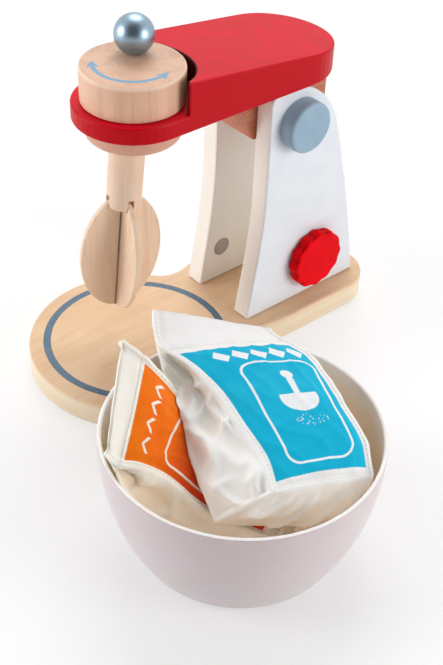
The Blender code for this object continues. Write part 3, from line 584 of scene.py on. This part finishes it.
# Each row has the front's near and far seam, then the back's far and near edge, in
# millimetres in the bowl's frame turned to the camera. The first row is the foot.
sugarLook = {
    "rows": [
        ((15.9, -44.4, 73.5), (68.5, -27.0, 70.5), (63.0, -30.0, 41.0), (-13.1, -47.3, 52.0)),
        ((9.8, -27.3, 80.5), (66.0, -8.5, 77.5), (58.0, -6.0, 51.0), (-19.1, -35.2, 59.0)),
        ((-2.6, -10.6, 87.6), (56.9, 7.8, 84.5), (49.0, 9.0, 57.0), (-26.5, -19.6, 67.0)),
        ((-15.2, 6.4, 94.6), (47.1, 25.3, 90.0), (41.0, 26.0, 66.0), (-34.1, -2.3, 77.0)),
        ((-31.6, 22.0, 99.8), (36.2, 43.6, 93.0), (34.0, 46.0, 79.0), (-42.9, 22.5, 89.0)),
        ((-48.4, 35.3, 103.0), (18.0, 57.5, 94.0), (20.0, 60.0, 88.0), (-49.5, 38.0, 99.0)),
        ((-53.2, 61.0, 106.5), (14.0, 64.0, 93.5), (14.5, 64.6, 91.9), (-53.6, 61.8, 104.9)),
    ],
    "crown": (4.5, 2.0, 4.0, 4.0), "footCrown": 8.5, "fold": 15.0, "foldFrom": 0.26, "foldTo": 0.9,
    "valley": 0.66, "creases": 1.0, "seed": (3.0, 11.0, 5.0), "seam": (1.1, 1.3), "wide": 58.0, "gusset": 28.0, "long": 128.0,
    "topSeam": 0.79,
}
flourLook = {
    "rows": [
        ((20.0, -46.0, 38.5), (33.0, -8.0, 33.0), (28.0, -8.0, 1.0), (16.0, -54.0, 5.0)),
        ((-16.0, -38.0, 49.0), (2.0, 4.0, 47.0), (0.0, 8.0, 1.0), (-12.0, -56.0, 9.0)),
        ((-39.0, -31.0, 65.0), (-24.0, 12.0, 70.0), (-26.0, 16.0, 22.0), (-41.0, -49.0, 30.0)),
        ((-53.0, -34.5, 76.5), (-44.0, 16.5, 95.0), (-49.0, 21.0, 52.0), (-58.0, -40.0, 50.0)),
        ((-63.0, -38.5, 82.0), (-56.0, 20.0, 106.5), (-61.0, 22.5, 94.0), (-64.0, -36.0, 74.0)),
        ((-70.3, -32.0, 82.5), (-66.5, 26.5, 111.0), (-67.8, 27.2, 109.8), (-71.2, -31.2, 81.3)),
    ],
    "crown": (6.5, 2.0, 3.0, 3.0), "footCrown": 3.0, "fold": 9.0, "foldFrom": -0.1, "foldTo": 0.95,
    "valley": 0.62, "creases": 1.0, "seed": (17.0, 2.0, 8.0), "seam": (1.7, 1.7), "wide": 44.0, "gusset": 24.0, "long": 112.0,
    "topSeam": 0.80,
}
bagSteps = {"across": 26, "gusset": 12, "along": 46}
bagCloth = {"frames": 20, "pressure": 4.0, "swell": -0.03, "cap": 4.5}


def smoothStep(low, high, value):
    share = min(max((value - low) / (high - low), 0.0), 1.0)
    return share * share * (3 - 2 * share)


def curveThrough(points, share):
    spot = share * (len(points) - 1)
    i = min(int(spot), len(points) - 2)
    t = spot - i
    before, start = points[max(i - 1, 0)], points[i]
    end, after = points[i + 1], points[min(i + 2, len(points) - 1)]
    return 0.5 * (2 * start + (end - before) * t + (2 * before - 5 * start + 4 * end - after) * t ** 2
                  + (3 * start - before - 3 * end + after) * t ** 3)


# A point of one panel of the sack: 0 front, 1 far gusset, 2 back, 3 near gusset
def panelPoint(look, lines, panel, across, along):
    start, end = lines[panel], lines[(panel + 1) % 4]
    first, last = curveThrough(start, along), curveThrough(end, along)
    point = first.lerp(last, across)
    middle = sum((curveThrough(line, along) for line in lines), Vector()) / 4
    edge = (last - first).normalized()
    out = point - middle
    out -= edge * out.dot(edge)
    out.normalize()
    hump = math.sin(math.pi * across)
    full = smoothStep(1.02, 0.6, along) * smoothStep(-0.12, 0.12, along)
    point = point + out * look["crown"][panel] * hump ** 0.8 * full
    if panel in (1, 3):
        depth = min(look["fold"], (last - first).length * 0.8)
        point = point - out * depth * foldDepth(look, panel, across, along)
    return point


# How deep the gusset is folded inwards, from 0 to 1
def foldDepth(look, panel, across, along):
    folded = smoothStep(look["foldFrom"], look["foldTo"] - 0.2, along)
    folded *= 1 - smoothStep(look["foldTo"] - 0.1, look["foldTo"] + 0.06, along)
    valley = look["valley"] if panel == 3 else 1 - look["valley"]
    side = across / valley if across < valley else (1 - across) / (1 - valley)
    return folded * max(side, 0.0) ** 1.25


def makeSack(name, look):
    rise = Vector((0.0, 0.0, bowlSize["bagLift"]))
    lines = [[Vector(row[i]) + rise for row in look["rows"]] for i in range(4)]
    wide, deep, long = bagSteps["across"], bagSteps["gusset"], bagSteps["along"]
    counts = (wide, deep, wide, deep)
    shape = bmesh.new()
    place = shape.loops.layers.float_vector.new("cloth")
    pins = shape.verts.layers.deform.verify()
    rings = []
    for k in range(long + 1):
        along = k / long
        ring = []
        for panel, count in enumerate(counts):
            for i in range(count):
                across = i / count
                vert = shape.verts.new(keepInBowl(panelPoint(look, lines, panel, across, along)))
                corner = 1.0 if i == 0 else 0.0
                hold = 0.92 * corner if panel in (0, 1) else 0.7 * corner
                if panel == 2:
                    hold = max(hold, 0.35)
                if panel in (1, 3):
                    hold = max(hold, 0.75 * foldDepth(look, panel, across, along))
                if along > 0.8:
                    hold = max(hold, smoothStep(0.78, 0.86, along))
                vert[pins][0] = hold
                vert[pins][1] = 1.0 if panel in (1, 3) else 0.25
                ring.append(vert)
        rings.append(ring)

    def addFace(corners, spots, panel):
        face = shape.faces.new(corners)
        for loop, spot in zip(face.loops, spots):
            loop[place] = (spot[0], spot[1], float(panel))

    starts = [sum(counts[:i]) for i in range(4)]
    for k in range(long):
        for panel, count in enumerate(counts):
            for i in range(count):
                a = starts[panel] + i
                b = (a + 1) % len(rings[0])
                low, high = k / long, (k + 1) / long
                left, right = i / count, (i + 1) / count
                addFace((rings[k][a], rings[k][b], rings[k + 1][b], rings[k + 1][a]),
                        ((left, low), (right, low), (right, high), (left, high)), panel)

    # The foot and the sewn top are patches between the front's and the back's edge
    for ring, behind, crown, panel, flip in ((rings[0], rings[3], look["footCrown"], 4, True),
                                             (rings[-1], rings[-4], 0.0, 5, False)):
        middle = sum((vert.co for vert in ring), Vector()) / len(ring)
        out = (middle - sum((vert.co for vert in behind), Vector()) / len(behind)).normalized()
        grid = []
        for j in range(deep + 1):
            near = ring[(len(ring) - j) % len(ring)]
            far = ring[wide + j]
            row = []
            for i in range(wide + 1):
                if j == 0:
                    row.append(ring[i])
                elif j == deep:
                    row.append(ring[wide + deep + wide - i])
                elif i == 0:
                    row.append(near)
                elif i == wide:
                    row.append(far)
                else:
                    front, back = ring[i].co, ring[wide + deep + wide - i].co
                    spot = front.lerp(back, j / deep)
                    side = near.co.lerp(far.co, i / wide)
                    blendSide = max(abs(2 * i / wide - 1) ** 3, 0.0)
                    spot = spot.lerp(side, blendSide)
                    hump = math.sin(math.pi * i / wide) * math.sin(math.pi * j / deep)
                    vert = shape.verts.new(keepInBowl(spot + out * crown * hump ** 0.6))
                    vert[pins][0] = 0.0 if panel == 4 else 1.0
                    vert[pins][1] = 1.0
                    row.append(vert)
            grid.append(row)
        for j in range(deep):
            for i in range(wide):
                corners = [grid[j][i], grid[j][i + 1], grid[j + 1][i + 1], grid[j + 1][i]]
                spots = [(i / wide, j / deep), ((i + 1) / wide, j / deep),
                         ((i + 1) / wide, (j + 1) / deep), (i / wide, (j + 1) / deep)]
                if flip:
                    corners.reverse()
                    spots.reverse()
                addFace(corners, spots, panel)
    bmesh.ops.recalc_face_normals(shape, faces=shape.faces)
    shape.transform(bagFrame)
    mesh = bpy.data.meshes.new(name)
    shape.to_mesh(mesh)
    shape.free()
    sack = bpy.data.objects.new(name, mesh)
    sack.vertex_groups.new(name="held")
    sack.vertex_groups.new(name="loose")
    bpy.context.scene.collection.objects.link(sack)
    return sack


# Blows the sack up a little as cloth, and keeps each point near where it was
def fillSack(sack):
    rest = [vert.co.copy() for vert in sack.data.vertices]
    cloth = sack.modifiers.new("filling", "CLOTH")
    cloth.settings.quality = 6
    cloth.settings.mass = 0.2
    cloth.settings.use_pressure = True
    cloth.settings.uniform_pressure_force = bagCloth["pressure"]
    cloth.settings.vertex_group_mass = "held"
    cloth.settings.vertex_group_shrink = "loose"
    cloth.settings.shrink_min = 0.0
    cloth.settings.shrink_max = bagCloth["swell"]
    cloth.settings.bending_stiffness = 0.4
    cloth.settings.effector_weights.gravity = 0.0
    cloth.collision_settings.use_self_collision = False
    cloth.point_cache.frame_end = bagCloth["frames"]
    for frameNumber in range(1, bagCloth["frames"] + 1):
        bpy.context.scene.frame_set(frameNumber)
    blown = sack.evaluated_get(bpy.context.evaluated_depsgraph_get()).data
    moved = [vert.co.copy() for vert in blown.vertices]
    sack.modifiers.clear()
    bpy.context.scene.frame_set(1)
    for vert, start, end in zip(sack.data.vertices, rest, moved):
        step = end - start
        limit = bagCloth["cap"] * mm
        if step.length > limit:
            step *= limit / step.length
        vert.co = start + step
    back = bagFrame.inverted()
    for vert in sack.data.vertices:
        vert.co = bagFrame @ keepInBowl(back @ vert.co)


# Height in mm of what sewing and creasing add to the smooth cloth, and a painted shade: how deep in a fold or crease
# it is
def creaseCloth(look, across, along, panel, place):
    long = look["long"]
    wide = look["gusset"] if panel in (1, 3) else look["wide"]
    if panel == 4:
        long = look["gusset"]
    side = min(across, 1 - across) * wide
    end = along * long if panel != 4 else min(along, 1 - along) * long
    edge = min(side, end)
    seed = Vector(look["seed"])
    flap = smoothStep(look["topSeam"] - 0.03, look["topSeam"] + 0.03, along) if panel != 4 else 0.0
    seamHigh, seamWide = look["seam"]
    lift = seamHigh * math.exp(-(edge / seamWide) ** 2) - 0.55 * math.exp(-((edge - 3.2) / 1.5) ** 2)
    ripple = noise.noise(place / 7.5 + seed)
    lift += 0.8 * ripple * math.exp(-edge / 7.0) * (1 - 0.5 * flap)
    u, v = across * wide, along * long
    slant = Vector(((u * 0.9 + v * 0.3) / 12.0, (v * 0.6 - u * 0.3) / 26.0, panel * 7.0))
    rumple = 1 - 2 * abs(noise.noise(place / 24.0 + seed * 2))
    fine = 1 - 2.2 * abs(noise.noise(slant + seed * 3))
    slack = {0: 0.36, 1: 1.35, 2: 0.5, 3: 1.4, 4: 1.4, 5: 0.0}[panel] * look["creases"]
    inner = smoothStep(1.5, 7.0, edge) if panel != 3 else smoothStep(0.5, 4.0, edge)
    lift += slack * inner * (1 - flap) * (1.5 * (rumple ** 4 - 0.3) + 2.6 * (max(fine, 0.0) ** 3 - 0.22))
    lift += flap * 0.9 * noise.noise(place / 16.0 + seed * 4)
    top = math.exp(-((along - look["topSeam"]) * long / 1.6) ** 2) if panel in (0, 2) else 0.0
    lift -= 0.9 * top
    # Painted shade in creases and folds, and a painted shadow in the middle of the gusset above the top seam
    shade = 0.35 * smoothStep(0.1, -0.9, lift)
    if panel in (1, 3):
        shade += foldDepth(look, panel, across, along) * smoothStep(0.0, 0.5, along - look["foldFrom"])
    if panel in (1, 3) and along > look["topSeam"] - 0.08:
        shade += 0.9 * smoothStep(0.28, 0.05, abs(across - 0.5)) * smoothStep(-0.06, 0.06, along - look["topSeam"])
    return lift, min(shade, 1.0)


# Moves a point out of another sack
def stayOff(point, tree, gap):
    spot, normal, _, reach = tree.find_nearest(point)
    if spot is None or reach > 9 * mm:
        return point
    off = (point - spot).dot(normal)
    return point + normal * (gap * mm - off) if off < gap * mm else point


def finishSack(sack, look, neighbour):
    finer = sack.modifiers.new("finer", "SUBSURF")
    finer.levels = finer.render_levels = 1
    graph = bpy.context.evaluated_depsgraph_get()
    mesh = bpy.data.meshes.new_from_object(sack.evaluated_get(graph))
    sack.modifiers.clear()
    sack.data = mesh
    cloth = mesh.attributes["cloth"].data
    sums = [[0.0, 0.0, 0] for _ in mesh.vertices]
    back = bagFrame.inverted()
    for loop, spot in zip(mesh.loops, cloth):
        across, along, panel = spot.vector
        place = back @ mesh.vertices[loop.vertex_index].co
        lift, shade = creaseCloth(look, across, along, round(panel), place)
        sums[loop.vertex_index][0] += lift
        sums[loop.vertex_index][1] += shade
        sums[loop.vertex_index][2] += 1
    normals = [vert.normal.copy() for vert in mesh.vertices]
    # The fold attribute carries the painted shade of the folds and creases
    depth = mesh.attributes.new("fold", "FLOAT", "POINT")
    for vert, normal, (lift, shade, count) in zip(mesh.vertices, normals, sums):
        place = vert.co + normal * (lift / count * mm)
        if neighbour:
            place = stayOff(place, neighbour, 0.9)
        vert.co = bagFrame @ keepInBowl(back @ place, 0.8)
        depth.data[vert.index].value = shade / count
    mesh.shade_smooth()
    mesh.update()
    return BVHTree.FromPolygons([vert.co for vert in mesh.vertices], [list(face.vertices) for face in mesh.polygons])


# A white outline of a box with round corners, for a print: x and y are in mm from its middle
def drawFrame(x, y, halfWide, halfLong, corner, line):
    acrossOut = (abs(x) - (halfWide - corner)).max(0.0)
    alongOut = (abs(y) - (halfLong - corner)).max(0.0)
    inside = (abs(x) - (halfWide - corner)).max(abs(y) - (halfLong - corner)).min(0.0)
    gap = (acrossOut * acrossOut + alongOut * alongOut) ** 0.5 + inside - corner
    return 1 - abs(gap).rise(line - 0.12, line + 0.12)


def repeat(cotton, value, period):
    turn = cotton.add("ShaderNodeMath", {"operation": "FRACT"}, {0: value / period})
    return (turn - 0.5) * period


def drawSugarPrint(cotton, across, along, look):
    wide, long = look["wide"], look["long"]
    x = (across - (0.525 + (along - 0.13) * 0.18)) * wide
    y = (along - 0.36) * long
    white = drawFrame(x, y, 18.2, 32.6, 8.0, 0.62)
    # A row of five diamonds
    rowX = repeat(cotton, (across - 0.20) * wide, 0.15 * wide)
    rowY = (along - 0.677) * long
    diamond = 1 - (abs(rowX) * 1.35 + abs(rowY)).rise(5.1, 5.5)
    white = white.max(diamond * (across > 0.20) * (across < 0.95))
    # A scoop with its handle up, and grains under it
    toolX, toolY = x - 2.0, y - 6.0
    cup = (1 - ((toolX * toolX + toolY * toolY * 1.2) ** 0.5).rise(9.6, 9.9)) * (toolY < 2.6)
    handle = (1 - abs(toolX).rise(1.5, 1.75)) * (toolY > 0.0) * (toolY < 15.0)
    knob = 1 - ((toolX * toolX + (toolY - 16.0) * (toolY - 16.0)) ** 0.5).rise(2.9, 3.2)
    grainPlace = cotton.add("ShaderNodeCombineXYZ", {}, {0: toolX, 1: toolY, 2: 0.0})
    grains = cotton.add("ShaderNodeTexVoronoi", {"feature": "F1"}, {"Vector": grainPlace, "Scale": 0.75}, output="Distance")
    heap = 1 - ((toolX * toolX + (toolY + 14.5) * (toolY + 14.5) * 6.0) ** 0.5).rise(6.0, 12.5)
    return white.max(cup).max(handle).max(knob).max((1 - grains.rise(0.20, 0.30)) * (heap > 0.4))


def drawFlourPrint(cotton, across, along, look):
    wide, long = look["wide"], look["long"]
    x = (across - 0.52) * wide
    y = (along - 0.27) * long
    white = drawFrame(x, y, 16.5, 21.0, 6.0, 0.6)
    # A row of chevrons
    rowX = repeat(cotton, (across - 0.12) * wide, 0.2 * wide)
    rowY = (along - 0.60) * long
    chevron = 1 - abs(rowY + abs(rowX) * 1.3 - 2.4).rise(1.15, 1.4)
    return white.max(chevron * (abs(rowX) < 3.4) * (across > 0.12) * (across < 0.92))


def makeCotton(name, look, size, drawPrint):
    cotton = Finish(name, Roughness=0.85, Specular_IOR_Level=0.2, Sheen_Weight=0.1, Sheen_Roughness=0.5,
                    Subsurface_Weight=0.25, Subsurface_Radius=(0.006, 0.005, 0.004))
    across, along, panel = cotton.axes(cotton.attribute("cloth"))
    front = panel < 0.5
    spot = cotton.place()
    ragged = cotton.speckle(spot, 0.9, 2.0) * 0.006 - 0.003
    edgeX, edgeY = across + ragged, along + ragged
    inside = edgeX.rise(look["left"] - 0.003, look["left"] + 0.003)
    inside = inside * (1 - edgeX.rise(look["right"] - 0.003, look["right"] + 0.003))
    inside = inside * edgeY.rise(look["low"] - 0.002, look["low"] + 0.002)
    inside = inside * (1 - edgeY.rise(look["high"] - 0.002, look["high"] + 0.002)) * front
    threads = cotton.speckle(cotton.stretch(spot, (1.0, 1.0, 1.0)), 2.6, 2.0, 0.65)
    cloudy = cotton.speckle(spot, 0.05, 2.0)
    fold = cotton.add("ShaderNodeAttribute", {"attribute_name": "fold"}, output="Fac")
    cloth = cotton.mix(cloudy.rise(0.3, 0.7), look["dark"], look["light"])
    cloth = cotton.mix(panel > 0.5, cloth, look["gusset"])
    # Painted shade: the cloth darkens to its fold colour in folds and creases
    cloth = cotton.mix(fold.rise(0.08, 0.9), cloth, look["fold"])
    # Stitches run beside the seams of the front, and across the top where it is sewn shut
    side = across.min(1 - across) * size["wide"]
    seamLow = abs(along * size["long"] - 1.7)
    seamTop = abs(along - size["topSeam"]) * size["long"]
    dashLong = abs(repeat(cotton, along * size["long"], 2.6)) < 0.9
    dashWide = abs(repeat(cotton, across * size["wide"], 2.6)) < 0.9
    sewnSide = (1 - abs(side - 1.5).rise(0.22, 0.4)) * dashLong
    sewnEnd = (1 - seamLow.rise(0.22, 0.4)).max(1 - seamTop.rise(0.22, 0.4)) * dashWide
    sewn = sewnSide.max(sewnEnd) * front
    ink = cotton.mix(cloudy.rise(0.3, 0.7), look["print"], look["printPale"])
    # The ink changes towards the foot; on the flour sack it turns darker and redder, a painted shade under the sugar
    # sack
    ink = cotton.mix(1 - along.rise(0.22, 0.5), ink, look["printFoot"])
    wear = cotton.speckle(spot, 1.5, 3.0).rise(0.30, 0.42) * 0.25 + 0.75
    ink = cotton.mix(drawPrint(cotton, across, along, size) * wear, ink, look["white"])
    colour = cotton.mix(inside, cloth, ink)
    cotton.set("Base_Color", cotton.mix(sewn * 0.35, colour, look["thread"]))
    soft = cotton.bump(threads, 0.3, 0.0002)
    cotton.set("Normal", cotton.bump(1 - sewn, 0.5, 0.0004, soft))
    return cotton


# The fold colours below are the painted shade of folds and creases
sugarCotton = makeCotton("sugarCotton", {
    "light": (0.94, 0.94, 0.94), "dark": (0.91, 0.91, 0.90), "gusset": (0.95, 0.95, 0.92),
    "fold": (0.87, 0.85, 0.74), "thread": (0.52, 0.48, 0.40), "white": (0.88, 0.91, 0.93),
    "print": (0.0, 0.45, 0.69), "printPale": (0.01, 0.50, 0.73), "printFoot": (0.0, 0.47, 0.71),
    "left": 0.055, "right": 0.95, "low": 0.058, "high": 0.745}, sugarLook, drawSugarPrint)
flourCotton = makeCotton("flourCotton", {
    "light": (0.94, 0.90, 0.82), "dark": (0.92, 0.87, 0.78), "gusset": (0.95, 0.92, 0.84),
    "fold": (0.90, 0.80, 0.66), "thread": (0.55, 0.45, 0.33), "white": (0.90, 0.82, 0.72),
    "print": (0.86, 0.15, 0.0), "printPale": (0.91, 0.19, 0.0), "printFoot": (0.74, 0.05, 0.01),
    "left": 0.055, "right": 0.95, "low": 0.058, "high": 0.76}, flourLook, drawFlourPrint)

lower = None
for name, look, cotton, body, node, slot in (
        ("flourSack", flourLook, flourCotton, "flour", "flour_bag", "flour_cotton"),
        ("sugarSack", sugarLook, sugarCotton, "sugar", "sugar_bag", "sugar_cotton")):
    sack = makeSack(name, look)
    fillSack(sack)
    lower = finishSack(sack, look, lower)
    sack.data.materials.append(cotton.material)
    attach(sack, body)
    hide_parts(node)

print("done")
